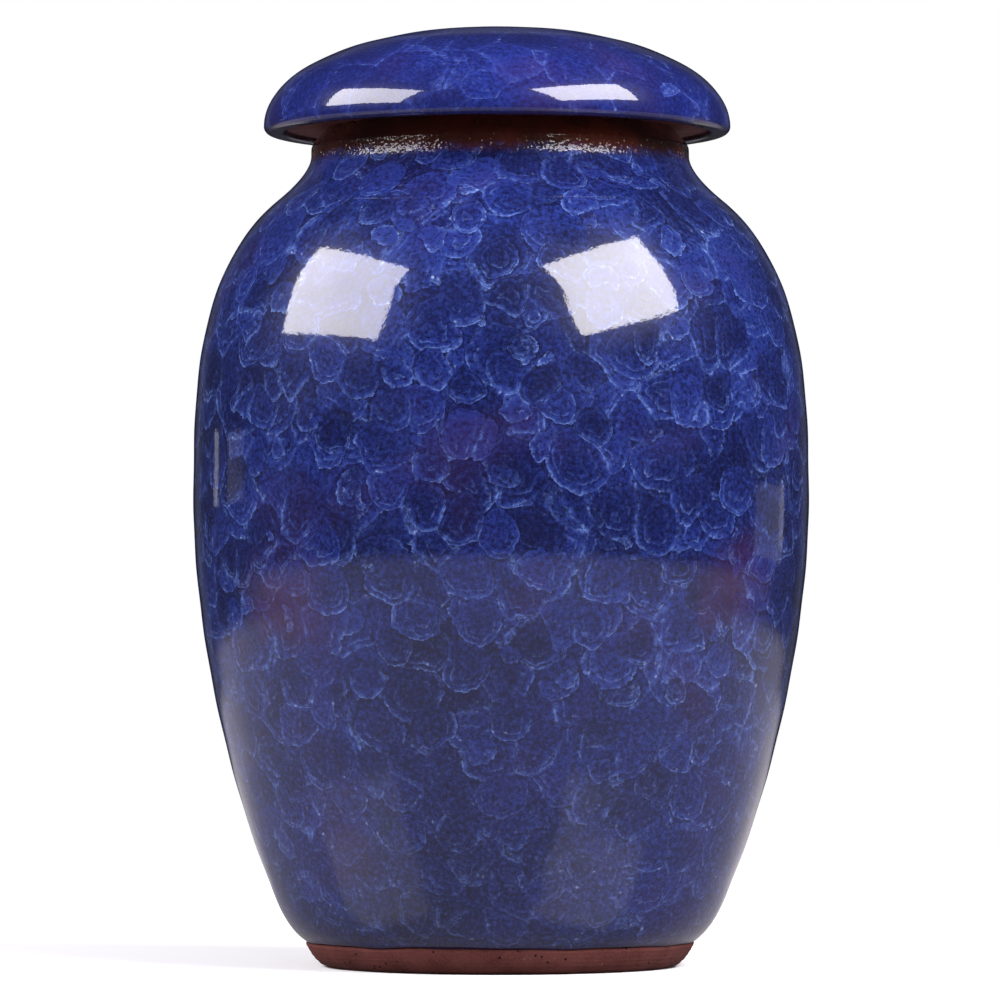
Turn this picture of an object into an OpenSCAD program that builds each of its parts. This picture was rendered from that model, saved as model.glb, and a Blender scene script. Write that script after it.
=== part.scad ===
// Funeral urn: a thrown stoneware jar with a lift-off domed lid.
// It stands on its foot ring at the origin, with +Z up. Lengths are in millimetres.

/* [Belly] */
// Diameter of the jar at its widest
belly_d = 170; // [145:1:205]
// Height above the ground at which the jar is widest
belly_z = 127; // [105:1:154]
// Fullness of the shoulder, where 2 is an ellipse and more is squarer
shoulder_full = 3.02; // [2.3:0.02:3.7]
// Fullness of the flank below the belly, measured the same way
flank_full = 1.73; // [1.45:0.01:2.1]
// Thickness of the jar's side
wall_t = 6; // [4:0.5:7.5]
// Thickness of the jar's floor
floor_t = 8; // [6:0.5:11]
// Height of the rounded corner between the floor and the side, inside
floor_corner = 9; // [5:0.5:14]

/* [Foot] */
// Diameter of the bare clay foot
foot_d = 107; // [90:0.5:130]
// Height of the bare clay foot
foot_h = 6.9; // [5:0.1:9]
// How far the foot's lower edge rounds inwards
foot_edge_w = 6.5; // [3:0.5:9]
// How far the foot's lower edge rounds upwards
foot_edge_h = 4.2; // [2.5:0.1:5]
// How far the glazed side stands back from the foot where it ends
glaze_step = 0.45; // [0.2:0.05:1]
// How far outside the foot the flank would land if its heel were not rounded
heel_flare = 3.3; // [2:0.1:5]
// Height of the rounded heel above the foot
heel_h = 13.4; // [9:0.1:18]
// Height above the foot at which the heel turns
heel_turn = 2.3; // [1.5:0.1:3.5]
// Width of the ring that the jar stands on
ring_w = 9; // [6:0.5:14]
// Depth of the hollow inside that ring
ring_depth = 2; // [1:0.25:3]

/* [Neck] */
// Outer diameter of the neck
neck_d = 104.6; // [94:0.1:126]
// Height at which the shoulder's line reaches the neck
neck_z = 217; // [190:0.1:245]
// Height of the neck from there to the rim of the mouth
neck_h = 14; // [13.6:0.1:22]
// Height over which the shoulder blends into the neck, each way
neck_blend = 6.2; // [4:0.1:7]
// How far the neck leans inwards on its way up to the rim
neck_lean = 0.1; // [0:0.1:1]
// Height of the rim's slope, from its outer corner up to the lid's seat
rim_h = 4.9; // [3.5:0.1:6]
// How far that slope runs inwards
rim_in = 4.5; // [3:0.1:5.5]
// Height to which the slope's outer corner is rounded, each way
rim_round = 1.2; // [0.6:0.1:1.6]
// Width of the flat top of the rim, on which the lid rests
seat_w = 1.8; // [1.2:0.1:3]
// Radius of the rounded edge inside the mouth
mouth_edge = 0.9; // [0.5:0.1:1.2]

/* [Lid] */
// How far the lid reaches out beyond the neck
lid_overhang = 12.2; // [9:0.1:16]
// Height of the dome above the lid's widest level
dome_h = 27.2; // [22:0.1:34]
// Fullness of the dome, where 2 is an ellipse
dome_full = 2.1; // [1.9:0.02:2.5]
// Thickness of the dome and of the seat below it
lid_t = 6.4; // [4.5:0.1:7.5]
// How far the lid's edge rounds inwards and downwards below the widest level
lid_edge = 2; // [1.5:0.1:3]
// Width of the lip round the underside
lip_w = 3.6; // [2.5:0.1:4.5]
// How far the lip hangs below the seat
lip_drop = 1.5; // [1:0.1:2.2]
// Thickness of the ring that drops into the mouth
tenon_t = 5; // [3.5:0.1:6.5]
// Depth of that ring below the seat
tenon_h = 11; // [7:0.5:13]
// Radius of the rounded edges of that ring
tenon_edge = 1.6; // [0.8:0.1:1.7]
// Clearance all round between that ring and the mouth
tenon_gap = 1.4; // [0.8:0.1:2]

/* [Hidden] */
$fn = 144;
curve_n = 14; // segments in each small curve
long_n = 30; // segments in each long curve

belly_r = belly_d / 2;
foot_r = foot_d / 2;
neck_r = neck_d / 2;
lid_r = neck_r + lid_overhang;
glaze_end_r = foot_r - glaze_step;
floor_z = ring_depth + floor_t;
mouth_z = neck_z + neck_h; // the lid's seat rests here
lid_z = mouth_z - lip_drop + lid_edge; // the lid's widest level
mouth_r = neck_r - neck_lean - rim_in - seat_w - mouth_edge;
tenon_r = mouth_r - tenon_gap;

// Share of a superellipse's radius at a share of its height, or the other way round
function bulge(share, full) = pow(1 - pow(share, full), 1 / full);

// Heights from the belly at which the shoulder and the flank would close on the axis
shoulder_h = (neck_z - belly_z) / bulge(neck_r / belly_r, shoulder_full);
flank_h = (belly_z - foot_h) / bulge((foot_r + heel_flare) / belly_r, flank_full);

function flank(z) = [belly_r * bulge((belly_z - z) / flank_h, flank_full), z];
function shoulder(z) = [belly_r * bulge((z - belly_z) / shoulder_h, shoulder_full), z];

// Curve from a to c that leaves and arrives along the lines to b
function bend(a, b, c) =
    [for (i = [0:curve_n]) let (t = i / curve_n)
        (1 - t) * (1 - t) * a + 2 * t * (1 - t) * b + t * t * c];

// Quarter ellipse about a centre, from the angle a0 through 90 degrees
function quarter(centre, w, h, a0, turn = 1) =
    [for (i = [0:curve_n]) let (a = a0 + turn * 90 * i / curve_n)
        centre + [w * cos(a), h * sin(a)]];

// Point at the height z on the line from a through b
function on_line(a, b, z) = [a.x + (b.x - a.x) * (z - a.y) / (b.y - a.y), z];
// Point at the radius r on that line
function at_radius(a, b, r) = [r, a.y + (b.y - a.y) * (r - a.x) / (b.x - a.x)];

// A path moved towards its left by the distance t
function moved_left(path, t) =
    [for (i = [0:len(path) - 1])
        let (d = path[min(i + 1, len(path) - 1)] - path[max(i - 1, 0)])
        path[i] + t * [-d.y, d.x] / norm(d)];

function reversed(path) = [for (i = [len(path) - 1:-1:0]) path[i]];

nudge = 0.01; // step over which a curve's direction is taken
heel_top_z = foot_h + heel_h;
blend_z = neck_z - neck_blend;

heel = bend([glaze_end_r, foot_h],
    on_line(flank(heel_top_z), flank(heel_top_z + nudge), foot_h + heel_turn),
    flank(heel_top_z));

// The belly's two halves, with their points closer together towards neck and foot
function flank_path(z0) =
    [for (i = [1:long_n]) flank(belly_z - (belly_z - z0) * cos(90 * i / long_n))];
shoulder_path =
    [for (i = [1:long_n]) shoulder(belly_z + (blend_z - belly_z) * sin(90 * i / long_n))];

// The neck turns up out of the shoulder, leans in to the rim's corner, and slopes to the seat
rim_corner = [neck_r - neck_lean, mouth_z - rim_h];
rim_top = [rim_corner.x - rim_in, mouth_z];
neck_turn = at_radius(shoulder(blend_z - nudge), shoulder(blend_z), neck_r);

neck = bend(shoulder(blend_z), neck_turn,
    on_line(neck_turn, rim_corner, neck_z + neck_blend));

rim = concat(
    bend(on_line(neck_turn, rim_corner, rim_corner.y - rim_round), rim_corner,
        on_line(rim_corner, rim_top, rim_corner.y + rim_round)),
    [rim_top]);

upper_side = concat(shoulder_path, [for (i = [1:curve_n]) neck[i]]);

outside = concat(
    quarter([foot_r - foot_edge_w, foot_edge_h], foot_edge_w, foot_edge_h, 270),
    [[foot_r, foot_h]],
    heel,
    flank_path(heel_top_z),
    upper_side,
    rim);

inner_side = moved_left(concat(flank_path(floor_z + floor_corner), upper_side), wall_t);
inner_corner = on_line(inner_side[0], inner_side[1], floor_z);

inside = concat(
    [[0, floor_z]],
    bend([inner_corner.x - floor_corner, floor_z], inner_corner, inner_side[0]),
    [for (i = [1:len(inner_side) - 1]) inner_side[i]],
    [[mouth_r, rim_corner.y]],
    quarter([mouth_r + mouth_edge, mouth_z - mouth_edge], mouth_edge, mouth_edge, 180, -1));

stand_r = foot_r - foot_edge_w - ring_w;
hollow_edge = ring_depth; // the ring's inner edge slopes at 45 degrees
underside = [[0, ring_depth], [stand_r - hollow_edge, ring_depth], [stand_r, 0]];

module urn_body() {
    color("#262f86")
        rotate_extrude()
            polygon(concat(underside, outside, reversed(inside)));
}

// Outer face of the dome from its widest level to its top, a distance t inside it
function dome(t, a0 = 0) =
    [for (i = [0:long_n]) let (a = a0 + (90 - a0) * i / long_n)
        [(lid_r - t) * pow(cos(a), 2 / dome_full),
         lid_z + (dome_h - t) * pow(sin(a), 2 / dome_full)]];

lip_z = mouth_z - lip_drop;
seat_top_z = mouth_z + lid_t;
tenon_z = mouth_z - tenon_h;
lip_r = lid_r - lid_edge - lip_w;
lip_round = min(lip_w, lip_drop) / 2;
// Angle at which the inner dome stands on the top of the seat
seat_a = asin(pow((seat_top_z - lid_z) / (dome_h - lid_t), dome_full / 2));

lid_outline = concat(
    [[tenon_r - tenon_t, seat_top_z], [tenon_r - tenon_t, tenon_z + tenon_edge]],
    quarter([tenon_r - tenon_t + tenon_edge, tenon_z + tenon_edge], tenon_edge, tenon_edge, 180),
    quarter([tenon_r - tenon_edge, tenon_z + tenon_edge], tenon_edge, tenon_edge, 270),
    [[tenon_r, mouth_z], [lip_r, mouth_z]],
    quarter([lip_r + lip_round, lip_z + lip_round], lip_round, lip_round, 180),
    quarter([lid_r - lid_edge, lid_z], lid_edge, lid_edge, 270),
    [for (i = [1:long_n]) dome(0)[i]],
    reversed(dome(lid_t, seat_a)));

module lid() {
    color("#2b3a9c")
        rotate_extrude()
            polygon(lid_outline);
}

urn_body();
lid();
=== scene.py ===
import math

import bpy
import numpy as np
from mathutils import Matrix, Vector


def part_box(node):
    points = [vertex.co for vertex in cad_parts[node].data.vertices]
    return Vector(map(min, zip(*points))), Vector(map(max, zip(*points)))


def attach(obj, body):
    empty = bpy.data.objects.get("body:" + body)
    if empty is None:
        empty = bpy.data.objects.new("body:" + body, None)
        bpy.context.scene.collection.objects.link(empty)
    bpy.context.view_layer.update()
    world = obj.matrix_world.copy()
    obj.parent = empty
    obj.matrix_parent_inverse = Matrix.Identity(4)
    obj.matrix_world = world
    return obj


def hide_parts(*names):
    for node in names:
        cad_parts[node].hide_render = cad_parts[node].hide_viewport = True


# a funeral urn in ice-flower glaze, with its lid; lengths are in metres

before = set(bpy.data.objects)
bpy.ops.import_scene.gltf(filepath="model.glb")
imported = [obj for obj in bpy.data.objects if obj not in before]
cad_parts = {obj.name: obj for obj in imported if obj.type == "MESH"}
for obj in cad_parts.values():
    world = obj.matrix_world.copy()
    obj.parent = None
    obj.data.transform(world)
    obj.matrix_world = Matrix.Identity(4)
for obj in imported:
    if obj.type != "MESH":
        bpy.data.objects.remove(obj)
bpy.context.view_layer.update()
bodyLow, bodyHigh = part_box("urn_body")
lidLow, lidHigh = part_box("lid")


# outlines, as (radius, height) pairs

def bulge(share, full):
    # how wide a full curve still is at this share of its height; 2 makes a circle
    return (1 - share ** full) ** (1 / full)


def bend(a, b, c, count=24):
    # a curve from a to c that leans towards b
    t = np.linspace(0, 1, count)[:, None]
    return (1 - t) ** 2 * np.array(a) + 2 * t * (1 - t) * np.array(b) + t ** 2 * np.array(c)


def quarter(centre, wide, high, start, count=16):
    # a quarter turn, anticlockwise from the start in degrees
    a = np.radians(start + np.linspace(0, 90, count))
    return np.array(centre) + np.stack([wide * np.cos(a), high * np.sin(a)], 1)


def onLine(a, b, z):
    # the point at height z on the line through a and b
    return (a[0] + (b[0] - a[0]) * (z - a[1]) / (b[1] - a[1]), z)


def wayAlong(path):
    # unit directions along a path
    way = np.gradient(path, axis=0)
    return way / np.linalg.norm(way, axis=1)[:, None]


def movedLeft(path, depth):
    way = wayAlong(path)
    return path + depth * np.stack([-way[:, 1], way[:, 0]], 1)


def stepped(path, step):
    # points one step apart along a path
    path = np.array(path, float)
    run = np.concatenate([[0], np.cumsum(np.linalg.norm(np.diff(path, axis=0), axis=1))])
    at = np.linspace(0, run[-1], max(2, int(run[-1] / step) + 1))
    return np.stack([np.interp(at, run, path[:, 0]), np.interp(at, run, path[:, 1])], 1)


def joined(sections):
    # one path from (name, step, points) sections, and the distance along it at which each one ends
    path = np.zeros((0, 2))
    last = {}
    for name, step, points in sections:
        new = stepped(points, step)
        if len(path) and np.linalg.norm(path[-1] - new[0]) < 1e-6:
            new = new[1:]
        path = np.concatenate([path, new])
        last[name] = len(path) - 1
    run = np.concatenate([[0], np.cumsum(np.linalg.norm(np.diff(path, axis=0), axis=1))])
    return path, run, {name: run[i] for name, i in last.items()}


def waver(angle, parts):
    # a closed wave round the pot from (size, turns, phase) parts
    return sum(size * np.sin(turns * angle + phase) for size, turns, phase in parts)


def near(value, centre, width):
    # 1 at the centre, and falling away on both sides
    return np.exp(-((value - centre) / width) ** 2)


def lathe(name, path, run, around, shape):
    # revolves a path; shape(angle, s, r, z) gives how far each point stands out, rises and slides in X
    way = wayAlong(path)
    angle = np.linspace(0, 2 * math.pi, around, endpoint=False)[None, :]
    r, z, s = path[1:-1, 0:1], path[1:-1, 1:2], run[1:-1, None]
    out, rise, slide = shape(angle, s, r, z)
    ringR = r + out * way[1:-1, 1:2]
    ringZ = z - out * way[1:-1, 0:1] + rise
    points = np.stack([ringR * np.cos(angle) + slide, ringR * np.sin(angle), ringZ], 2).reshape(-1, 3)
    poles = np.array([[0, 0, path[0, 1]], [0, 0, path[-1, 1]]])
    poles[:, 0] += [np.mean(slide[0]), np.mean(slide[-1])]
    points = np.concatenate([points, poles])
    rings = len(path) - 2
    i, j = np.meshgrid(np.arange(rings - 1), np.arange(around), indexing="ij")
    k = (j + 1) % around
    quads = np.stack([i * around + j, i * around + k, (i + 1) * around + k, (i + 1) * around + j], 2)
    j = np.arange(around)
    k = (j + 1) % around
    first, last = len(points) - 2, len(points) - 1
    top = (rings - 1) * around
    fans = [(first, b, a) for a, b in zip(j.tolist(), k.tolist())]
    fans += [(last, top + a, top + b) for a, b in zip(j.tolist(), k.tolist())]
    mesh = bpy.data.meshes.new(name)
    mesh.from_pydata(points.tolist(), [], quads.reshape(-1, 4).tolist() + fans)
    mesh.shade_smooth()
    along = mesh.attributes.new("along", "FLOAT", "POINT")
    along.data.foreach_set("value", np.concatenate([np.repeat(run[1:-1], around), [run[0], run[-1]]]))
    piece = bpy.data.objects.new(name, mesh)
    bpy.context.scene.collection.objects.link(piece)
    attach(piece, "root")
    print(name, "has", len(mesh.polygons), "faces")
    return piece


# shader node helpers

def node(tree, kind, ins=None, **settings):
    made = tree.nodes.new("ShaderNode" + kind)
    for key, value in settings.items():
        setattr(made, key, value)
    for key, value in (ins or {}).items():
        if isinstance(value, bpy.types.NodeSocket):
            tree.links.new(value, made.inputs[key])
        else:
            made.inputs[key].default_value = value
    return made


def calc(tree, operation, a, b=0.0, c=0.0, clamp=False):
    return node(tree, "Math", {0: a, 1: b, 2: c}, operation=operation, use_clamp=clamp).outputs[0]


def shift(tree, operation, a, b):
    return node(tree, "VectorMath", {0: a, 1: b}, operation=operation).outputs[0]


def scaled(tree, vector, amount):
    return node(tree, "VectorMath", {0: vector, "Scale": amount}, operation="SCALE").outputs[0]


def remap(tree, value, low, high, toLow=0.0, toHigh=1.0):
    ins = {0: value, 1: low, 2: high, 3: toLow, 4: toHigh}
    return node(tree, "MapRange", ins, interpolation_type="SMOOTHSTEP").outputs[0]


def blend(tree, amount, a, b):
    # colour a turning into colour b
    made = node(tree, "Mix", {0: amount}, data_type="RGBA")
    for key, value in ((6, a), (7, b)):
        if isinstance(value, bpy.types.NodeSocket):
            tree.links.new(value, made.inputs[key])
        else:
            made.inputs[key].default_value = (*value, 1)
    return made.outputs[2]


def between(tree, amount, a, b):
    # value a turning into value b
    return node(tree, "Mix", {0: amount, 2: a, 3: b}, data_type="FLOAT").outputs[0]


def grain(tree, vector, size, detail=2.0, rough=0.5):
    # noise with waves of about this size
    ins = {"Vector": vector, "Scale": 1 / size, "Detail": detail, "Roughness": rough}
    return node(tree, "TexNoise", ins).outputs["Fac"]


def scatter(tree, vector, scale):
    # cells at this many per metre: their distances and places, and three random numbers for each
    cells = node(tree, "TexVoronoi", {"Vector": vector, "Scale": scale}, feature="F1").outputs
    return cells, node(tree, "SeparateColor", {"Color": cells["Color"]}).outputs


def newGroup(name, ins, outs):
    # a shader group with named sockets; returns its tree, its inputs and its output node
    tree = bpy.data.node_groups.new(name, "ShaderNodeTree")
    kinds = {"value": "NodeSocketFloat", "vector": "NodeSocketVector", "colour": "NodeSocketColor"}
    for label, kind, start in ins:
        socket = tree.interface.new_socket(label, in_out="INPUT", socket_type=kinds[kind])
        if start is not None:
            socket.default_value = start
    for label, kind in outs:
        tree.interface.new_socket(label, in_out="OUTPUT", socket_type=kinds[kind])
    return tree, tree.nodes.new("NodeGroupInput").outputs, tree.nodes.new("NodeGroupOutput")


def useGroup(tree, group, ins):
    made = tree.nodes.new("ShaderNodeGroup")
    made.node_tree = group
    for key, value in ins.items():
        if isinstance(value, bpy.types.NodeSocket):
            tree.links.new(value, made.inputs[key])
        else:
            made.inputs[key].default_value = value
    return made.outputs


# effects shared by the materials

plates = {
    "straightReach": 1.2,  # how far a straight-sided plate may reach, in cells
    "roundReach": 0.47,    # and a round one
    "reachLuck": 0.24,
    "shadowDepth": 0.75,      # painted shadow, a dark line just outside each plate
    "shadowFall": 26.0,
    "swing": 0.8,          # how far a plate's painted bright border may turn to one side
    "dimAt": 0.35,         # the painted highlight on the border is dimmest this far above the middle, in cells
    "brightAt": -0.4,      # and brightest this far below it
    "dimmest": 0.06,
    "crispFall": 40.0,
    "glowFall": 8.0,
    "petalPower": 6.0,     # a higher power draws thinner rings
    "petalDepth": 0.42,    # how far in the rings fade, in cells
    "petalOuter": 0.72,
    "petalInner": 0.14,
    "baseTone": 0.07,
    "luckTone": 0.36,
    "glowTone": 0.36,
    "ringTone": 0.3,
}


def buildPlateLayer(p):
    # one layer of glaze plates laid over what lies below
    tree, ins, out = newGroup(
        "plateLayer",
        [("Vector", "vector", None), ("Scale", "value", 60.0), ("Cover", "value", 0.5),
         ("Rings", "value", 6.0), ("Round", "value", 1.0), ("Jitter", "value", 0.0),
         ("Tone Below", "value", 0.0), ("Line Below", "value", 0.0), ("Tint Below", "value", 0.5)],
        [("Tone", "value"), ("Line", "value"), ("Tint", "value")])
    cells, luck = scatter(tree, ins["Vector"], ins["Scale"])
    edges = node(tree, "TexVoronoi", {"Vector": ins["Vector"], "Scale": ins["Scale"]},
                 feature="DISTANCE_TO_EDGE")
    # a plate is round where it has room, and straight-sided where it meets its neighbours
    reach = between(tree, ins["Round"], p["straightReach"], p["roundReach"])
    room = calc(tree, "MULTIPLY_ADD", luck[1], p["reachLuck"], reach)
    room = calc(tree, "SUBTRACT", room, cells["Distance"])
    laid = calc(tree, "LESS_THAN", luck[0], ins["Cover"])
    inward = calc(tree, "MINIMUM", edges.outputs["Distance"], room)
    shown = calc(tree, "MULTIPLY", laid, calc(tree, "GREATER_THAN", inward, 0.0))
    # painted shadow: a dark line lies just outside each plate, as if the plate shaded the glaze below it
    paintedShadow = calc(tree, "MULTIPLY", calc(tree, "MINIMUM", inward, 0.0), p["shadowFall"])
    paintedShadow = calc(tree, "MULTIPLY", calc(tree, "EXPONENT", paintedShadow), laid)
    paintedShadeFactor = calc(tree, "MULTIPLY_ADD", paintedShadow, -p["shadowDepth"], 1.0)
    inward = calc(tree, "MAXIMUM", inward, 0.0)

    # painted highlight: each plate's lower and outer borders are painted brighter, as if they caught the
    # light
    offset = shift(tree, "SUBTRACT", ins["Vector"], cells["Position"])
    offset = node(tree, "SeparateXYZ", {0: offset}).outputs
    drop = calc(tree, "MULTIPLY", offset[2], ins["Scale"])
    side = calc(tree, "MULTIPLY", offset[0], ins["Scale"])
    swing = calc(tree, "MULTIPLY_ADD", luck[1], 2 * p["swing"], -p["swing"])
    paintedLitSide = calc(tree, "MULTIPLY_ADD", side, swing, drop)
    paintedLitSide = remap(tree, paintedLitSide, p["dimAt"], p["brightAt"], p["dimmest"], 1.0)
    crisp = calc(tree, "EXPONENT", calc(tree, "MULTIPLY", inward, -p["crispFall"]))
    glow = calc(tree, "EXPONENT", calc(tree, "MULTIPLY", inward, -p["glowFall"]))

    # rings nested inside each plate, like the petals of a rose
    start = calc(tree, "ADD", luck[2], ins["Jitter"])
    ring = calc(tree, "MULTIPLY_ADD", inward, ins["Rings"], start)
    ring = calc(tree, "SUBTRACT", 1.0, calc(tree, "FRACT", ring))
    fade = remap(tree, inward, 0.0, p["petalDepth"], p["petalOuter"], p["petalInner"])
    petal = calc(tree, "MULTIPLY", calc(tree, "POWER", ring, p["petalPower"]), fade)
    # the pale lines are painted brighter on the lit side as well
    line = calc(tree, "MULTIPLY", calc(tree, "MAXIMUM", crisp, petal), paintedLitSide)
    tone = calc(tree, "MULTIPLY_ADD", luck[2], p["luckTone"], p["baseTone"])
    tone = calc(tree, "MULTIPLY_ADD", calc(tree, "MULTIPLY", glow, paintedLitSide), p["glowTone"], tone)
    tone = calc(tree, "MULTIPLY_ADD", calc(tree, "MULTIPLY", ring, fade), p["ringTone"], tone)

    under = {
        "Tone": calc(tree, "MULTIPLY", ins["Tone Below"], paintedShadeFactor),
        "Line": calc(tree, "MULTIPLY", ins["Line Below"], paintedShadeFactor),
        "Tint": ins["Tint Below"],
    }
    for label, mine in (("Tone", tone), ("Line", line), ("Tint", luck[2])):
        tree.links.new(between(tree, shown, under[label], mine), out.inputs[label])
    return tree


flakes = {
    "broad": 95.0,      # waves per metre that bend whole plates
    "ragged": 520.0,    # and that fray their edges
    "broadWarp": 3.2,   # how much further the broad waves reach
    "jitter": 0.13,
    "bottom": (0.1, 0.0, 0.5),  # tone, line and tint under the lowest layer
    "layers": (         # size, shift and share of cells laid, from the lowest up
        (1.2, 0.0, 1.0),
        (1.06, 0.137, 0.92),
        (0.84, 0.291, 0.72),
    ),
}


def buildIceFlakes(p, plateLayer):
    # overlapping plates of crackle glaze with ragged edges
    tree, ins, out = newGroup(
        "iceFlakes",
        [("Vector", "vector", None), ("Size", "value", 0.016), ("Cover", "value", 0.5),
         ("Rings", "value", 6.0), ("Warp", "value", 0.003), ("Round", "value", 1.0)],
        [("Tone", "value"), ("Line", "value"), ("Tint", "value")])
    broad = node(tree, "TexNoise", {"Vector": ins["Vector"], "Scale": p["broad"], "Detail": 1.0}).outputs
    ragged = node(tree, "TexNoise", {"Vector": ins["Vector"], "Scale": p["ragged"], "Detail": 2.0}).outputs
    sway = shift(tree, "SUBTRACT", broad["Color"], (0.5, 0.5, 0.5))
    sway = scaled(tree, sway, calc(tree, "MULTIPLY", ins["Warp"], p["broadWarp"]))
    tremble = shift(tree, "SUBTRACT", ragged["Color"], (0.5, 0.5, 0.5))
    tremble = scaled(tree, tremble, ins["Warp"])
    place = shift(tree, "ADD", ins["Vector"], shift(tree, "ADD", sway, tremble))
    jitter = calc(tree, "MULTIPLY", calc(tree, "MULTIPLY", broad["Fac"], ins["Rings"]), p["jitter"])
    tone, line, tint = p["bottom"]
    lowest = p["layers"][0]
    for layer in p["layers"]:
        size, move, cover = layer
        laid = useGroup(tree, plateLayer, {
            "Vector": shift(tree, "ADD", place, (move, move * 0.7, move * 1.3)),
            "Scale": calc(tree, "DIVIDE", 1 / size, ins["Size"]),
            "Cover": calc(tree, "MULTIPLY", ins["Cover"], cover),
            "Rings": ins["Rings"],
            "Round": calc(tree, "MULTIPLY", ins["Round"], 0.0 if layer is lowest else 1.0),
            "Jitter": jitter,
            "Tone Below": tone,
            "Line Below": line,
            "Tint Below": tint,
        })
        tone, line, tint = laid["Tone"], laid["Line"], laid["Tint"]
    for label, value in (("Tone", tone), ("Line", line), ("Tint", tint)):
        tree.links.new(value, out.inputs[label])
    return tree


glaze = {
    "cloudSize": 0.035,    # sizes of the grains
    "fineSize": 0.0011,
    "dashSize": 0.0034,
    "stainSize": 0.034,
    "stainMost": 0.36,     # how far a stain turns the glaze to violet
    "calmTone": 0.42,      # the even tone of glaze without plates
    "cloudTone": (0.65, 1.3),
    "mottle": (0.78, 0.06),
    "toneFull": 1.25,
    "lineFine": (0.15, 1.5),
    "lineDash": (0.3, 1.5),
    "lineCalm": -0.6,
    "fleck": (0.5, 0.1),
    "specks": 680.0,       # pale specks per metre
    "speckShare": 0.18,
    "speckCalm": 0.12,
    "speckLeast": 0.03,
    "speck": (0.3, 0.38, 0.68),
}


def buildGlazeColour(p):
    # ultramarine glaze from the plates' tone and lines
    tree, ins, out = newGroup(
        "glazeColour",
        [("Vector", "vector", None), ("Tone", "value", 0.5), ("Line", "value", 0.0),
         ("Tint", "value", 0.5), ("Dark", "colour", None), ("Middle", "colour", None),
         ("Light", "colour", None), ("Violet", "colour", None), ("Line Strength", "value", 0.8),
         ("Calm", "value", 0.0), ("Lift", "value", 1.0)],
        [("Colour", "colour")])
    cloud = grain(tree, ins["Vector"], p["cloudSize"], 3.0)
    fine = grain(tree, ins["Vector"], p["fineSize"], 3.0, 0.8)
    dash = grain(tree, ins["Vector"], p["dashSize"], 1.0)
    stain = grain(tree, ins["Vector"], p["stainSize"], 2.0)

    # the tone is painted paler by the top-light input, where light from above would fall
    tone = calc(tree, "MULTIPLY", between(tree, ins["Calm"], ins["Tone"], p["calmTone"]), ins["Lift"])
    tone = calc(tree, "MULTIPLY", tone, remap(tree, cloud, 0.3, 0.7, *p["cloudTone"]))
    mottle = remap(tree, fine, 0.3, 0.7, -1.0, 1.0)
    tone = calc(tree, "MULTIPLY_ADD", calc(tree, "MULTIPLY_ADD", tone, *p["mottle"]), mottle, tone)
    tone = calc(tree, "MULTIPLY", calc(tree, "MAXIMUM", tone, 0.0), p["toneFull"], clamp=True)
    colour = blend(tree, tone, ins["Dark"], ins["Middle"])
    stain = remap(tree, stain, 0.53, 0.78, 0.0, p["stainMost"])
    stain = calc(tree, "MULTIPLY", stain, calc(tree, "MULTIPLY_ADD", ins["Tint"], 0.4, 0.6))
    colour = blend(tree, stain, colour, ins["Violet"])

    # the plates' lines break up, and calm glaze has flecks in their place
    line = calc(tree, "MULTIPLY", ins["Line"], remap(tree, fine, 0.3, 0.7, *p["lineFine"]))
    line = calc(tree, "MULTIPLY", line, remap(tree, dash, 0.38, 0.64, *p["lineDash"]))
    line = calc(tree, "MULTIPLY", line, calc(tree, "MULTIPLY_ADD", ins["Calm"], p["lineCalm"], 1.0))
    fleck = calc(tree, "MULTIPLY_ADD", ins["Calm"], *p["fleck"])
    fleck = calc(tree, "MULTIPLY", remap(tree, fine, 0.52, 0.8), fleck)
    line = calc(tree, "MULTIPLY", calc(tree, "ADD", line, fleck), ins["Line Strength"], clamp=True)
    colour = blend(tree, line, colour, ins["Light"])

    # fine pale specks in the glaze
    dots, pick = scatter(tree, ins["Vector"], p["specks"])
    speck = calc(tree, "MULTIPLY", calc(tree, "GREATER_THAN", pick[0], 1 - p["speckShare"]),
                 remap(tree, dots["Distance"], 0.45, 0.1, 0.0, 1.6))
    amount = calc(tree, "ADD", ins["Line"], p["speckLeast"])
    amount = calc(tree, "MULTIPLY_ADD", ins["Calm"], p["speckCalm"], amount)
    speck = calc(tree, "MULTIPLY", calc(tree, "MULTIPLY", speck, amount), pick[1])
    speck = calc(tree, "MULTIPLY", speck, ins["Line Strength"], clamp=True)
    colour = blend(tree, speck, colour, p["speck"])
    tree.links.new(colour, out.inputs["Colour"])
    return tree


stoneware = {
    "cloudSize": 0.009,
    "sandSize": 0.0005,
    "turning": 900.0,      # turning marks per metre of height
    "dots": 620.0,         # pits and pale grains per metre
    "pitShare": 0.14,
    "paleShare": 0.05,
    "pit": (0.012, 0.006, 0.005),
    "pale": (0.25, 0.15, 0.11),
    "roughness": (0.62, 0.86),
}


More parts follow.
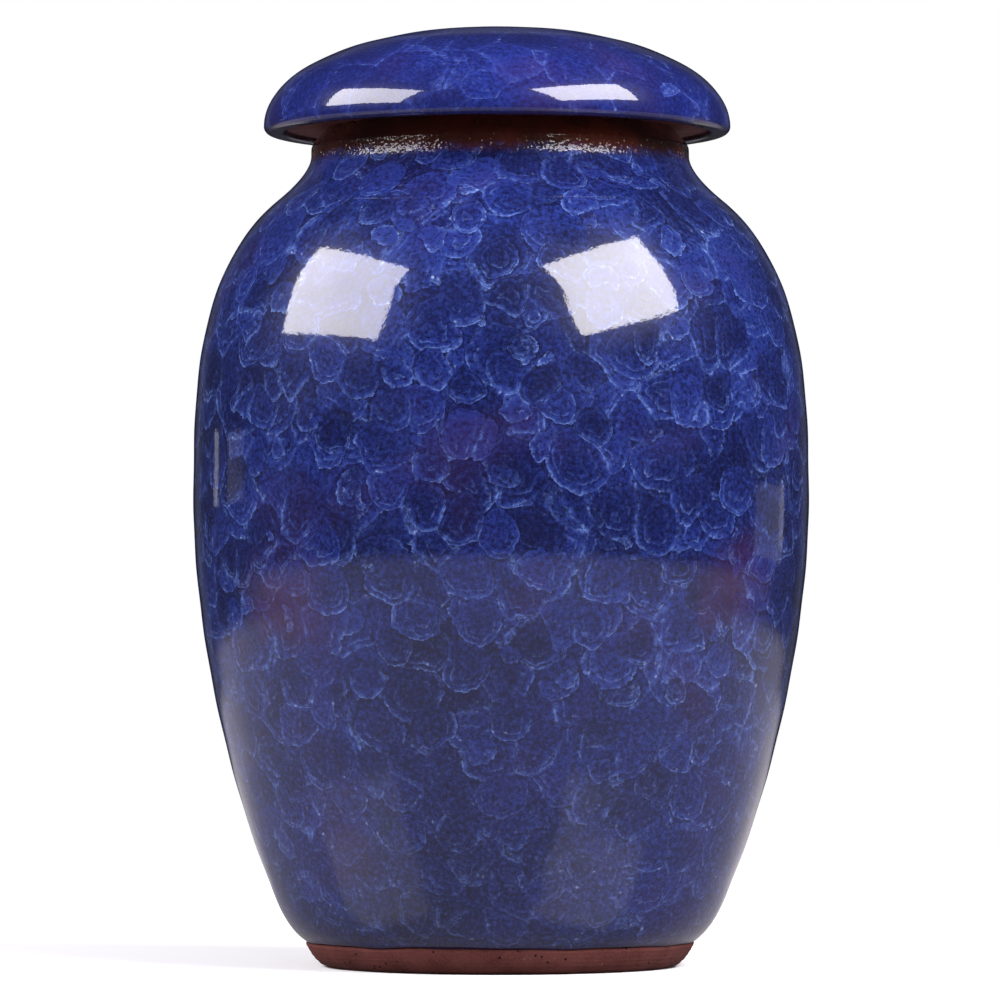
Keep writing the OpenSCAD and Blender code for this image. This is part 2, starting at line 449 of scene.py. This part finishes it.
def buildClay(p):
    # matt red-brown stoneware with sand, pits and turning marks
    tree, ins, out = newGroup(
        "clay",
        [("Vector", "vector", None), ("Base", "colour", None), ("Deep", "colour", None)],
        [("Colour", "colour"), ("Roughness", "value"), ("Relief", "value")])
    cloud = grain(tree, ins["Vector"], p["cloudSize"], 3.0)
    sand = grain(tree, ins["Vector"], p["sandSize"], 2.0, 0.7)
    height = node(tree, "SeparateXYZ", {0: ins["Vector"]}).outputs[2]
    turned = node(tree, "TexNoise", {"W": height, "Scale": p["turning"], "Detail": 1.0},
                  noise_dimensions="1D").outputs["Fac"]
    mottled = calc(tree, "MULTIPLY_ADD", sand, 0.55, calc(tree, "MULTIPLY", cloud, 0.45))
    colour = blend(tree, remap(tree, mottled, 0.35, 0.62), ins["Deep"], ins["Base"])
    dots, pick = scatter(tree, ins["Vector"], p["dots"])
    pits = calc(tree, "MULTIPLY", calc(tree, "GREATER_THAN", pick[0], 1 - p["pitShare"]),
                remap(tree, dots["Distance"], 0.32, 0.16))
    colour = blend(tree, pits, colour, p["pit"])
    pale = calc(tree, "MULTIPLY", calc(tree, "LESS_THAN", pick[0], p["paleShare"]),
                remap(tree, dots["Distance"], 0.28, 0.14, 0.0, 0.7))
    colour = blend(tree, pale, colour, p["pale"])
    relief = calc(tree, "MULTIPLY_ADD", turned, 0.5, calc(tree, "MULTIPLY", sand, 0.7))
    tree.links.new(colour, out.inputs["Colour"])
    tree.links.new(remap(tree, sand, 0.3, 0.7, *p["roughness"]), out.inputs["Roughness"])
    tree.links.new(relief, out.inputs["Relief"])
    return tree


skin = {
    "peelSize": 0.0046,
    "hazeSize": 0.022,
    "holes": 210.0,        # cells per metre, a few of which hold a pinhole
    "holeShare": 0.07,
    "roughness": (0.24, 0.42),
}


def buildFireSkin(p):
    # the slight orange peel, pinholes and uneven sheen of a fired glaze
    tree, ins, out = newGroup(
        "fireSkin",
        [("Vector", "vector", None)],
        [("Height", "value"), ("Roughness", "value"), ("Pinholes", "value")])
    peel = grain(tree, ins["Vector"], p["peelSize"], 3.0, 0.78)
    haze = grain(tree, ins["Vector"], p["hazeSize"], 4.0, 0.6)
    holes, pick = scatter(tree, ins["Vector"], p["holes"])
    pin = calc(tree, "MULTIPLY", calc(tree, "GREATER_THAN", pick[0], 1 - p["holeShare"]),
               remap(tree, holes["Distance"], 0.075, 0.03))
    tree.links.new(peel, out.inputs["Height"])
    tree.links.new(remap(tree, haze, 0.35, 0.7, *p["roughness"]), out.inputs["Roughness"])
    tree.links.new(pin, out.inputs["Pinholes"])
    return tree


iceFlakes = buildIceFlakes(flakes, buildPlateLayer(plates))
glazeColour = buildGlazeColour(glaze)
clay = buildClay(stoneware)
fireSkin = buildFireSkin(skin)
print("node groups built")

# what the glaze of the jar and of the lid share
kiln = {
    "violet": (0.036, 0.011, 0.05),
    "flush": (0.05, 0.014, 0.058),
    "neck": (0.025, 0.0078, 0.0062),
    "neckWarm": (0.1, 0.02, 0.01),
    "grit": (0.62, 0.5, 0.36),
    "pinhole": (0.01, 0.006, 0.01),
    "rim": (0.018, 0.008, 0.022),
    "clay": (0.19, 0.064, 0.056),
    "clayDeep": (0.112, 0.034, 0.03),
    "flushMost": 0.5,
    "flushEdge": 0.015,    # how softly a flush ends
    "flushGrain": 0.014,
    "flushRag": 0.03,
    "breakGrain": 0.0032,
    "warmGrain": 0.02,     # patches of warmer brown at the neck
    "gritCells": 1250.0,   # bright grit, real grains with painted glints, in cells per metre
    "gritShare": 0.2,
    "gritGrain": 0.0009,
    "gritRise": 7.0,
    "pinholeDark": 0.6,
    "edgeGrain": 0.0012,   # how the glaze's edge frays on the clay
    "edgeRag": 0.0003,
    "edgeSoft": (0.0003, 0.0004),
    "rimDark": 0.75,
    "rimDull": 0.7,
    "clayRelief": 0.00012,
    "shader": {"IOR": 1.5, "Specular IOR Level": 0.1, "Coat Roughness": 0.045, "Coat IOR": 1.5},
}


def solid(colour):
    # a colour with full alpha
    return (*colour, 1)


def glazedMaterial(name, look, glazeFrom, glazeTo, breakAt):
    # crackle glaze over clay; glazeFrom, glazeTo and breakAt are distances along the outline
    material = bpy.data.materials.new(name)
    material.use_nodes = True
    tree = material.node_tree
    tree.nodes.clear()
    place = node(tree, "TexCoord").outputs["Object"]
    along = node(tree, "Attribute", attribute_name="along").outputs["Fac"]

    height = node(tree, "SeparateXYZ", {0: place}).outputs[2]
    calm = remap(tree, height, look["calmFrom"], look["calmTo"], look["calm"], look["calmMost"])
    # painted light: the glaze is painted paler higher up, standing in for light from above
    paintedTopLight = remap(tree, height, look["liftFrom"], look["liftTo"], 1.0, look["liftMost"])
    ice = useGroup(tree, iceFlakes, {
        "Vector": place,
        "Size": look["plate"],
        "Cover": look["cover"],
        "Rings": look["rings"],
        "Warp": look["warp"],
        "Round": look["round"],
    })
    blue = useGroup(tree, glazeColour, {
        "Vector": place,
        "Tone": ice["Tone"],
        "Line": ice["Line"],
        "Tint": ice["Tint"],
        "Dark": solid(look["dark"]),
        "Middle": solid(look["middle"]),
        "Light": solid(look["light"]),
        "Violet": solid(kiln["violet"]),
        "Line Strength": look["lines"],
        "Calm": calm,
        "Lift": paintedTopLight,
    })["Colour"]
    for centre in look["flushes"]:
        # a red-violet flush in the glaze, ragged at its border
        far = node(tree, "VectorMath", {0: place, 1: centre}, operation="DISTANCE").outputs["Value"]
        rag = grain(tree, place, kiln["flushGrain"], 3.0, 0.6)
        far = calc(tree, "MULTIPLY_ADD", rag, kiln["flushRag"], far)
        soft = kiln["flushEdge"]
        flush = remap(tree, far, look["flushR"] + soft, soft, 0.0, kiln["flushMost"])
        blue = blend(tree, flush, blue, kiln["flush"])
    bare = useGroup(tree, clay, {
        "Vector": place,
        "Base": solid(kiln["clay"]),
        "Deep": solid(kiln["clayDeep"]),
    })
    fired = useGroup(tree, fireSkin, {"Vector": place})

    # where the glaze runs thin it breaks to brown, with bright grit along the change: real grains, with
    # painted glints on them
    breakStart, breakMid, breakEnd = (breakAt + step for step in look["break"])
    rag = grain(tree, place, kiln["breakGrain"], 4.0, 0.65)
    reach = calc(tree, "MULTIPLY_ADD", rag, look["breakRag"], along)
    brown = remap(tree, reach, breakStart, breakEnd)
    warm = remap(tree, grain(tree, place, kiln["warmGrain"], 2.0), 0.42, 0.72)
    colour = blend(tree, brown, blue, blend(tree, warm, kiln["neck"], kiln["neckWarm"]))
    zone = calc(tree, "MULTIPLY", remap(tree, reach, breakStart, breakMid),
                remap(tree, reach, breakEnd + look["gritOver"], breakMid))
    cells, pick = scatter(tree, place, kiln["gritCells"])
    # painted highlight: the bright grit dots stand partly for glints on the gritty glaze
    gritGlints = calc(tree, "MULTIPLY", calc(tree, "GREATER_THAN", pick[0], 1 - kiln["gritShare"]),
                  remap(tree, cells["Distance"], 0.42, 0.2))
    gritGlints = calc(tree, "MULTIPLY", calc(tree, "MULTIPLY", gritGlints, zone), pick[1])
    colour = blend(tree, gritGlints, colour, kiln["grit"])
    pinholes = calc(tree, "MULTIPLY", fired["Pinholes"], kiln["pinholeDark"])
    colour = blend(tree, pinholes, colour, kiln["pinhole"])

    # bare clay below the glaze line and inside, with a darker rim where the glaze ends
    softLow, softHigh = kiln["edgeSoft"]
    edge = grain(tree, place, kiln["edgeGrain"], 1.0)
    edge = calc(tree, "MULTIPLY_ADD", edge, kiln["edgeRag"], along)
    raw = calc(tree, "ADD", remap(tree, edge, glazeFrom + softLow, glazeFrom),
               remap(tree, edge, glazeTo, glazeTo + softHigh), clamp=True)
    thin = look["thin"]
    rim = remap(tree, along, glazeFrom + thin, glazeFrom + thin * 0.4)
    rim = calc(tree, "MULTIPLY", rim, kiln["rimDark"])
    colour = blend(tree, rim, colour, kiln["rim"])
    colour = blend(tree, raw, colour, bare["Colour"])

    grit = calc(tree, "MULTIPLY", grain(tree, place, kiln["gritGrain"], 0.0), zone)
    relief = calc(tree, "MULTIPLY_ADD", grit, kiln["gritRise"], fired["Height"])
    relief = between(tree, raw, relief, bare["Relief"])
    depth = between(tree, raw, look["skinDepth"], kiln["clayRelief"])
    normal = node(tree, "Bump", {"Height": relief, "Strength": 1.0, "Distance": depth}).outputs[0]
    gloss = calc(tree, "MULTIPLY", between(tree, zone, 1.0, 0.5),
                 calc(tree, "MULTIPLY_ADD", rim, -kiln["rimDull"], 1.0))
    shader = node(tree, "BsdfPrincipled", {
        **kiln["shader"],
        "Base Color": colour,
        "Roughness": between(tree, raw, fired["Roughness"], bare["Roughness"]),
        "Coat Weight": between(tree, raw, gloss, 0.0),
        "Normal": normal,
        "Coat Normal": normal,
    })
    out = node(tree, "OutputMaterial")
    tree.links.new(shader.outputs[0], out.inputs[0])
    return material


# the jar

jar = {
    "around": 240,
    "bellyR": (bodyHigh.x - bodyLow.x) / 2,
    "bellyZ": 0.127,
    "shoulderFull": 3.02,  # 2 is round, and more is squarer
    "flankFull": 1.73,
    "wall": 0.006,
    "floorZ": 0.010,
    "floorCorner": 0.009,
    "footR": 0.0535,
    "footH": 0.0069,
    "footEdgeW": 0.0065,
    "footEdgeH": 0.0062,
    "footSlope": 0.0032,
    "footTop": 0.0003,     # the turned edge just under the glaze
    "glazeStep": 0.00045,
    "heelFlare": 0.0033,
    "heelH": 0.0134,
    "heelTurn": 0.0023,
    "ringW": 0.009,
    "ringDepth": 0.002,
    "neckR": 0.0523,
    "neckZ": 0.217,
    "neckBlend": 0.0062,
    "neckLean": 0.0001,
    "rimH": 0.0049,
    "rimIn": 0.0045,
    "rimRound": 0.0012,
    "seatW": 0.0018,
    "mouthEdge": 0.0009,
    "mouthZ": bodyHigh.z,
    "wave": 0.00012,       # depth of the slow waves left by the thrower's hands
    "inRing": 0.0004,      # depth of the throwing rings inside
    "inRingStep": 0.0085,
    "glazeWave": 0.0004,   # how far the glaze line strays up and down
    "glazeRoll": 0.00018,  # the soft roll where the glaze gathered above the foot
    "glazeOver": 0.0006,   # how far the glaze runs over the rim
    "turning": 0.00005,    # turning marks and dents on the foot
    "dent": 0.00022,
    "bow": 0.0003,         # how far the middle stands to one side
    "glaze": {
        "dark": (0.004, 0.005, 0.03),
        "middle": (0.0135, 0.0258, 0.167),
        "light": (0.105, 0.175, 0.46),
        "plate": 0.0138,
        "cover": 1.0,
        "rings": 6.5,
        "warp": 0.0016,
        "round": 1.0,
        "lines": 0.72,
        "calm": 0.0,       # how much the plates give way to even glaze, above calmFrom
        "calmFrom": 0.11,
        "calmTo": 0.015,
        "calmMost": 0.52,  # and at calmTo
        "liftFrom": 0.13,  # painted light: the glaze is painted paler from here up to the neck, standing in for light from above
        "liftTo": 0.205,
        "liftMost": 1.36,
        "flushes": [(-0.060, -0.058, 0.099), (0.063, -0.055, 0.104)],
        "flushR": 0.02,
        "break": (-0.0021, 0.0012, 0.0026),  # start, middle and end, from the neck's end
        "breakRag": 0.0034,
        "gritOver": 0.0022,
        "thin": 0.0022,
        "skinDepth": 0.00003,
    },
}


def jarOutline(p):
    span = (p["neckZ"] - p["bellyZ"]) / bulge(p["neckR"] / p["bellyR"], p["shoulderFull"])
    heelR = p["footR"] + p["heelFlare"]
    drop = (p["bellyZ"] - p["footH"]) / bulge(heelR / p["bellyR"], p["flankFull"])

    def flank(z):
        return np.array([p["bellyR"] * bulge((p["bellyZ"] - z) / drop, p["flankFull"]), z])

    def shoulder(z):
        return np.array([p["bellyR"] * bulge((z - p["bellyZ"]) / span, p["shoulderFull"]), z])

    nudge = 0.00001
    heelTop = p["footH"] + p["heelH"]
    heelTurn = onLine(flank(heelTop), flank(heelTop + nudge), p["footH"] + p["heelTurn"])
    heel = bend((p["footR"] - p["glazeStep"], p["footH"]), heelTurn, flank(heelTop))
    share = np.linspace(0, 1, 160) * math.pi / 2
    side = [flank(p["bellyZ"] - (p["bellyZ"] - heelTop) * math.cos(a)) for a in share]
    blendZ = p["neckZ"] - p["neckBlend"]
    top = [shoulder(p["bellyZ"] + (blendZ - p["bellyZ"]) * math.sin(a)) for a in share]
    corner = (p["neckR"] - p["neckLean"], p["mouthZ"] - p["rimH"])
    rimTop = (corner[0] - p["rimIn"], p["mouthZ"])
    a, b = shoulder(blendZ - nudge), shoulder(blendZ)
    turn = (p["neckR"], a[1] + (b[1] - a[1]) * (p["neckR"] - a[0]) / (b[0] - a[0]))
    neck = bend(b, turn, onLine(turn, corner, p["neckZ"] + p["neckBlend"]))
    rim = bend(onLine(turn, corner, corner[1] - p["rimRound"]), corner,
               onLine(corner, rimTop, corner[1] + p["rimRound"]))
    mouthR = rimTop[0] - p["seatW"] - p["mouthEdge"]
    seatIn = (mouthR + p["mouthEdge"], p["mouthZ"])
    mouth = quarter((seatIn[0], p["mouthZ"] - p["mouthEdge"]), p["mouthEdge"], p["mouthEdge"], 90)
    floorTop = p["floorZ"] + p["floorCorner"]
    innerSide = [flank(p["bellyZ"] - (p["bellyZ"] - floorTop) * math.cos(a)) for a in share]
    inner = movedLeft(np.array(innerSide[:-1] + top + neck[1:].tolist()), p["wall"])
    cornerR = onLine(inner[0], inner[1], p["floorZ"])[0]
    floorR = cornerR - p["floorCorner"]
    floorBend = bend((floorR, p["floorZ"]), (cornerR, p["floorZ"]), inner[0])
    standOut = p["footR"] - p["footEdgeW"]
    standIn = standOut - p["ringW"]
    recess = (standIn - p["ringDepth"], p["ringDepth"])
    footEdge = bend((standOut, 0), (p["footR"] - p["footSlope"], 0), (p["footR"], p["footEdgeH"]))
    footTop = (p["footR"], p["footH"] - p["footTop"])
    return joined([
        ("recess", 0.003, [(0, p["ringDepth"]), recess]),
        ("ring", 0.0007, [recess, (standIn, 0)]),
        ("stand", 0.001, [(standIn, 0), (standOut, 0)]),
        ("footEdge", 0.0005, footEdge),
        ("foot", 0.0003, [(p["footR"], p["footEdgeH"]), footTop]),
        ("glazeStep", 0.00012, bend(footTop, (p["footR"], p["footH"]), heel[0], 8)),
        ("heel", 0.0006, heel),
        ("side", 0.0012, side),
        ("shoulder", 0.0011, top),
        ("neckBend", 0.0006, neck),
        ("neck", 0.0006, [neck[-1], rim[0]]),
        ("rimBend", 0.0003, rim),
        ("rim", 0.0006, [rim[-1], rimTop]),
        ("seat", 0.0006, [rimTop, seatIn]),
        ("mouthEdge", 0.0003, mouth),
        ("mouth", 0.001, [mouth[-1], (mouthR, corner[1])]),
        ("underMouth", 0.001, [(mouthR, corner[1]), inner[-1]]),
        ("inside", 0.003, inner[::-1]),
        ("floorBend", 0.0015, floorBend[::-1]),
        ("floor", 0.003, [(floorR, p["floorZ"]), (0, p["floorZ"])]),
    ])


jarPath, jarRun, jarEnds = jarOutline(jar)
glazeLine = jarEnds["glazeStep"]
rimEdge = jarEnds["rim"]


def jarShape(angle, s, r, z):
    outer = (s > glazeLine) & (s < rimEdge)
    inner = s > jarEnds["seat"]
    ease = np.clip((s - glazeLine) / 0.02, 0, 1) * np.clip((rimEdge - s) / 0.03, 0, 1)
    slow = waver(angle + 21 * z, [(0.5, 2, 0.4), (0.3, 3, 2.1)]) + np.sin(z * 330 + 0.8 * np.sin(angle))
    out = -jar["wave"] * (1 + 0.5 * slow) * ease * outer
    # a soft roll where the glaze gathered above the bare foot
    roll = 1 + waver(angle, [(0.5, 5, 1.0), (0.4, 11, 0.3)])
    out = out + jar["glazeRoll"] * near(s, glazeLine + 0.0011, 0.0008) * roll
    # turning marks on the foot, and dents along its lower edge
    foot = (s < glazeLine - 0.0006) & (s > jarEnds["stand"])
    out = out - jar["turning"] * (1 + np.sin(z * 5200 + waver(angle, [(1.2, 1, 0.2)]))) * foot
    dents = waver(angle, [(1, 7, 0.5), (1, 13, 2.2), (0.8, 23, 1.1), (0.7, 31, 4.0)])
    dents = np.clip(dents - 1.6, 0, 2)
    out = out - jar["dent"] * dents * near(s, jarEnds["stand"] + 0.003, 0.002)
    # throwing rings inside
    rings = 0.5 - 0.5 * np.cos(2 * math.pi * (z / jar["inRingStep"] + angle / (2 * math.pi)))
    fade = np.clip((s - jarEnds["seat"] - 0.012) / 0.02, 0, 1)
    out = out - jar["inRing"] * rings * fade * inner * (z > jar["floorZ"] + 0.001)
    stray = waver(angle, [(0.4, 3, 0.3), (0.3, 7, 1.7), (0.25, 12, 0.6), (0.2, 19, 2.9)])
    rise = jar["glazeWave"] * stray * near(s, glazeLine, 0.0016)
    slide = jar["bow"] * np.sin(math.pi * np.clip(z / jar["mouthZ"], 0, 1)) + 0 * angle
    return out + 0 * angle, rise, slide


urnBody = lathe("urnBody", jarPath, jarRun, jar["around"], jarShape)
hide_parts("urn_body")
urnBody.data.materials.append(glazedMaterial(
    "bodyGlaze", jar["glaze"], glazeLine, rimEdge + jar["glazeOver"], jarEnds["neckBend"]))


# the lid

cap = {
    "around": 256,
    "lidR": (lidHigh.x - lidLow.x) / 2,
    "top": lidHigh.z,
    "domeH": 0.0272,
    "domeFull": 2.1,
    "thick": 0.0064,
    "edge": 0.002,
    "lipW": 0.0036,
    "lipDrop": 0.0015,
    "ringT": 0.005,        # the locating ring, which drops into the mouth
    "ringH": 0.011,
    "ringGap": 0.0014,
    "ringEdge": 0.0016,
    "slide": -0.0008,      # the lid sits a touch off centre in its clearance
    "wave": 0.00012,
    "inRing": 0.0002,      # depth of the throwing rings inside
    "inRingStep": 0.007,
    "glaze": {
        "dark": (0.0065, 0.008, 0.062),
        "middle": (0.0125, 0.0235, 0.182),
        "light": (0.1, 0.155, 0.48),
        "plate": 0.0165,
        "cover": 1.0,
        "rings": 1.2,
        "warp": 0.0007,
        "round": 0.0,
        "lines": 0.42,
        "calm": 0.2,
        "calmFrom": 0.1,
        "calmTo": 0.0,
        "calmMost": 0.2,
        "liftFrom": 0.23,
        "liftTo": 0.26,
        "liftMost": 1.0,
        "flushes": [],
        "break": (0.0, 0.1, 0.2),
        "breakRag": 0.001,
        "gritOver": 0.0022,
        "thin": 0.0078,
        "skinDepth": 0.000022,
    },
}


def lidOutline(p, mouthZ, mouthR):
    lidZ = p["top"] - p["domeH"]
    lipZ = mouthZ - p["lipDrop"]
    seatTop = mouthZ + p["thick"]
    ringR = mouthR - p["ringGap"]
    ringIn = ringR - p["ringT"]
    ringZ = mouthZ - p["ringH"]
    e = p["ringEdge"]
    lipR = p["lidR"] - p["edge"] - p["lipW"]
    turn = min(p["lipW"], p["lipDrop"]) / 2
    start = math.asin(((seatTop - lidZ) / (p["domeH"] - p["thick"])) ** (p["domeFull"] / 2))

    def dome(depth, a0, a1, count=200):
        a = np.linspace(a0, a1, count)
        c, s = np.maximum(np.cos(a), 0), np.sin(a)
        return np.stack([(p["lidR"] - depth) * c ** (2 / p["domeFull"]),
                         lidZ + (p["domeH"] - depth) * s ** (2 / p["domeFull"])], 1)

    inner = dome(p["thick"], math.pi / 2, start)
    lip = quarter((lipR + turn, lipZ + turn), turn, turn, 180)
    edge = quarter((p["lidR"] - p["edge"], lipZ + p["edge"]), p["edge"], p["edge"], 270)
    return joined([
        ("inside", 0.0025, inner),
        ("shelf", 0.001, [inner[-1], (ringIn, seatTop)]),
        ("ringInside", 0.001, [(ringIn, seatTop), (ringIn, ringZ + e)]),
        ("ringInnerEdge", 0.0004, quarter((ringIn + e, ringZ + e), e, e, 180)),
        ("ringBottom", 0.0006, [(ringIn + e, ringZ), (ringR - e, ringZ)]),
        ("ringOuterEdge", 0.0004, quarter((ringR - e, ringZ + e), e, e, 270)),
        ("ringOutside", 0.001, [(ringR, ringZ + e), (ringR, mouthZ)]),
        ("seat", 0.001, [(ringR, mouthZ), (lipR, mouthZ)]),
        ("lipInside", 0.0004, [(lipR, mouthZ), (lipR, lipZ + turn)]),
        ("lip", 0.0003, lip),
        ("lipBottom", 0.0004, [lip[-1], edge[0]]),
        ("edge", 0.0003, edge),
        ("dome", 0.0008, dome(0, 0, math.pi / 2, 400)),
    ])


mouthR = jar["neckR"] - jar["neckLean"] - jar["rimIn"] - jar["seatW"] - jar["mouthEdge"]
lidPath, lidRun, lidEnds = lidOutline(cap, jar["mouthZ"], mouthR)


def lidShape(angle, s, r, z):
    ease = np.clip((s - lidEnds["edge"]) / 0.01, 0, 1)
    slow = waver(angle, [(0.4, 2, 1.1), (0.3, 3, 0.2), (0.2, 5, 2.0)]) * np.clip(r / 0.02, 0, 1)
    out = -cap["wave"] * (1.2 + slow + 0.5 * np.sin(r * 420)) * ease
    # throwing rings inside the dome
    rings = 0.5 - 0.5 * np.cos(2 * math.pi * r / cap["inRingStep"])
    out = out - cap["inRing"] * rings * (s < lidEnds["inside"]) * np.clip(r / 0.01, 0, 1)
    still = 0 * angle + 0 * s
    return out + 0 * angle, still, cap["slide"] + still


urnLid = lathe("urnLid", lidPath, lidRun, cap["around"], lidShape)
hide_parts("lid")
# the outline is far shorter than a metre, so the lid's glaze neither ends nor breaks on its top
urnLid.data.materials.append(glazedMaterial("lidGlaze", cap["glaze"], lidEnds["lipInside"], 2.0, 1.0))
print("pieces built")


# floor, light and camera

studio = {
    "floorR": 1.25,
    "floorSides": 96,
    "floorColour": (0.95, 0.95, 0.96),
    "floorMirrored": (0.36, 0.345, 0.36),
    "floorShine": 0.045,
    "floorRough": 0.16,
    "fadeFrom": 0.6,       # the floor fades out between these distances
    "fadeTo": 1.1,
    "lampColour": (1, 0.96, 0.98),
    "lampAway": 1.3,
    "fill": (0.93, 0.95, 1),
    "fillGlow": 0.35,
    "roomDark": 0.025,     # what the glaze mirrors of the room in front and at the sides
    "roomPale": 0.075,     # and behind
    "roomRim": 0.08,       # straight behind, which draws a dark line round the outline
    "lens": 214.8,
    "cameraAt": (0, -1.647, 0.084),
    "cameraTo": (0, 0, 0.1284),
}

# name, azimuth, elevation, width, height, glow, point of the urn that it is aimed at, roll
softboxes = [
    ("boxLeft", -73, 33, 1.08, 0.62, 11.5, (-0.041, -0.069, 0.18), 2),
    ("boxRight", 53, 39.5, 1.05, 0.68, 15, (0.03, -0.074, 0.183), 6),
    # dim panels behind, which the glaze shows as faint strips near its edges
    ("panelLeft", -133, 1.8, 0.09, 0.08, 0.8, (-0.078, -0.033, 0.13), 0),
    ("panelLeftWide", -117, 1.8, 0.27, 0.08, 0.28, (-0.078, -0.033, 0.13), 0),
    ("panelRight", 129, 0.7, 0.083, 0.1, 0.4, (0.076, -0.037, 0.118), 0),
    ("panelRightWide", 119.5, -0.4, 0.5, 0.15, 0.33, (0.076, -0.037, 0.118), 0),
]


def floorMaterial(p):
    # pale floor that fades out towards its edge
    material = bpy.data.materials.new("floorPale")
    material.use_nodes = True
    tree = material.node_tree
    tree.nodes.clear()
    place = node(tree, "TexCoord").outputs["Object"]
    far = node(tree, "VectorMath", {0: place}, operation="LENGTH").outputs["Value"]
    clear = remap(tree, far, p["fadeFrom"], p["fadeTo"])
    # the urn sees the floor duller than the camera does, and a little polished
    seen = node(tree, "LightPath").outputs["Is Camera Ray"]
    matt = node(tree, "BsdfDiffuse", {"Color": solid(p["floorColour"]), "Roughness": 0.6}).outputs[0]
    dull = node(tree, "BsdfDiffuse", {"Color": solid(p["floorMirrored"]), "Roughness": 0.6}).outputs[0]
    polish = node(tree, "BsdfGlossy", {"Color": (0.9, 0.9, 0.9, 1), "Roughness": p["floorRough"]})
    worn = node(tree, "MixShader", {0: p["floorShine"], 1: dull, 2: polish.outputs[0]}).outputs[0]
    face = node(tree, "MixShader", {0: seen, 1: worn, 2: matt}).outputs[0]
    gone = node(tree, "BsdfTransparent").outputs[0]
    mix = node(tree, "MixShader", {0: clear, 1: face, 2: gone}).outputs[0]
    out = node(tree, "OutputMaterial")
    tree.links.new(mix, out.inputs[0])
    return material


def makeFloor(p):
    sides = p["floorSides"]
    points = [(0, 0, 0)] + [(p["floorR"] * math.cos(a), p["floorR"] * math.sin(a), 0)
                            for a in np.linspace(0, 2 * math.pi, sides, endpoint=False)]
    faces = [(0, i, i % sides + 1) for i in range(1, sides + 1)]
    mesh = bpy.data.meshes.new("floor")
    mesh.from_pydata(points, [], faces)
    mesh.materials.append(floorMaterial(p))
    floor = bpy.data.objects.new("floor", mesh)
    bpy.context.scene.collection.objects.link(floor)


def aim(thing, place, target, roll=0.0):
    thing.location = place
    turn = (Vector(target) - Vector(place)).to_track_quat("-Z", "Y").to_matrix().to_4x4()
    turn.translation = place
    thing.matrix_world = turn
    if roll:
        thing.rotation_euler.rotate_axis("Z", math.radians(roll))


def makeSoftbox(p, name, azimuth, elevation, wide, high, glow, target, roll):
    # azimuth 0 is beside the camera and grows to the right; glow is the brightness seen in a mirror
    a, e = math.radians(azimuth), math.radians(elevation)
    way = Vector((math.sin(a) * math.cos(e), -math.cos(a) * math.cos(e), math.sin(e)))
    lamp = bpy.data.lights.new(name, "AREA")
    lamp.shape = "RECTANGLE"
    lamp.size = wide
    lamp.size_y = high
    lamp.energy = glow * math.pi * wide * high
    lamp.color = p["lampColour"]
    box = bpy.data.objects.new(name, lamp)
    bpy.context.scene.collection.objects.link(box)
    aim(box, Vector(target) + way * p["lampAway"], target, roll)
    box.visible_camera = False


def makeAir(p):
    # white to the camera, a soft fill, and a dim room for the glaze to mirror
    world = bpy.data.worlds.new("studioAir")
    bpy.context.scene.world = world
    world.use_nodes = True
    tree = world.node_tree
    tree.nodes.clear()
    ray = node(tree, "LightPath").outputs
    sight = node(tree, "SeparateXYZ", {0: node(tree, "TexCoord").outputs["Generated"]}).outputs[1]
    room = calc(tree, "MULTIPLY", remap(tree, sight, 0.84, 0.93, p["roomDark"], p["roomPale"]),
                remap(tree, sight, 0.985, 0.93, p["roomRim"], 1.0))
    grey = blend(tree, room, (0, 0, 0), (1, 1, 1))
    mirrored = node(tree, "Background", {"Color": grey, "Strength": 1.0}).outputs[0]
    fill = node(tree, "Background", {"Color": solid(p["fill"]), "Strength": p["fillGlow"]}).outputs[0]
    white = node(tree, "Background", {"Color": (1, 1, 1, 1), "Strength": 1.0}).outputs[0]
    lit = node(tree, "MixShader", {0: ray["Is Glossy Ray"], 1: fill, 2: mirrored}).outputs[0]
    shown = node(tree, "MixShader", {0: ray["Is Camera Ray"], 1: lit, 2: white}).outputs[0]
    out = node(tree, "OutputWorld")
    tree.links.new(shown, out.inputs[0])


def makeCamera(p):
    camera = bpy.data.objects.new("camera", bpy.data.cameras.new("camera"))
    bpy.context.scene.collection.objects.link(camera)
    camera.data.lens = p["lens"]
    camera.data.sensor_width = 36
    aim(camera, p["cameraAt"], p["cameraTo"])
    bpy.context.scene.camera = camera


makeFloor(studio)
for settings in softboxes:
    makeSoftbox(studio, *settings)
makeAir(studio)
makeCamera(studio)
bpy.context.scene.view_settings.view_transform = "Standard"
bpy.context.scene.cycles.max_bounces = 5
bpy.context.scene.cycles.diffuse_bounces = 2
bpy.context.scene.cycles.glossy_bounces = 3
print("studio built")
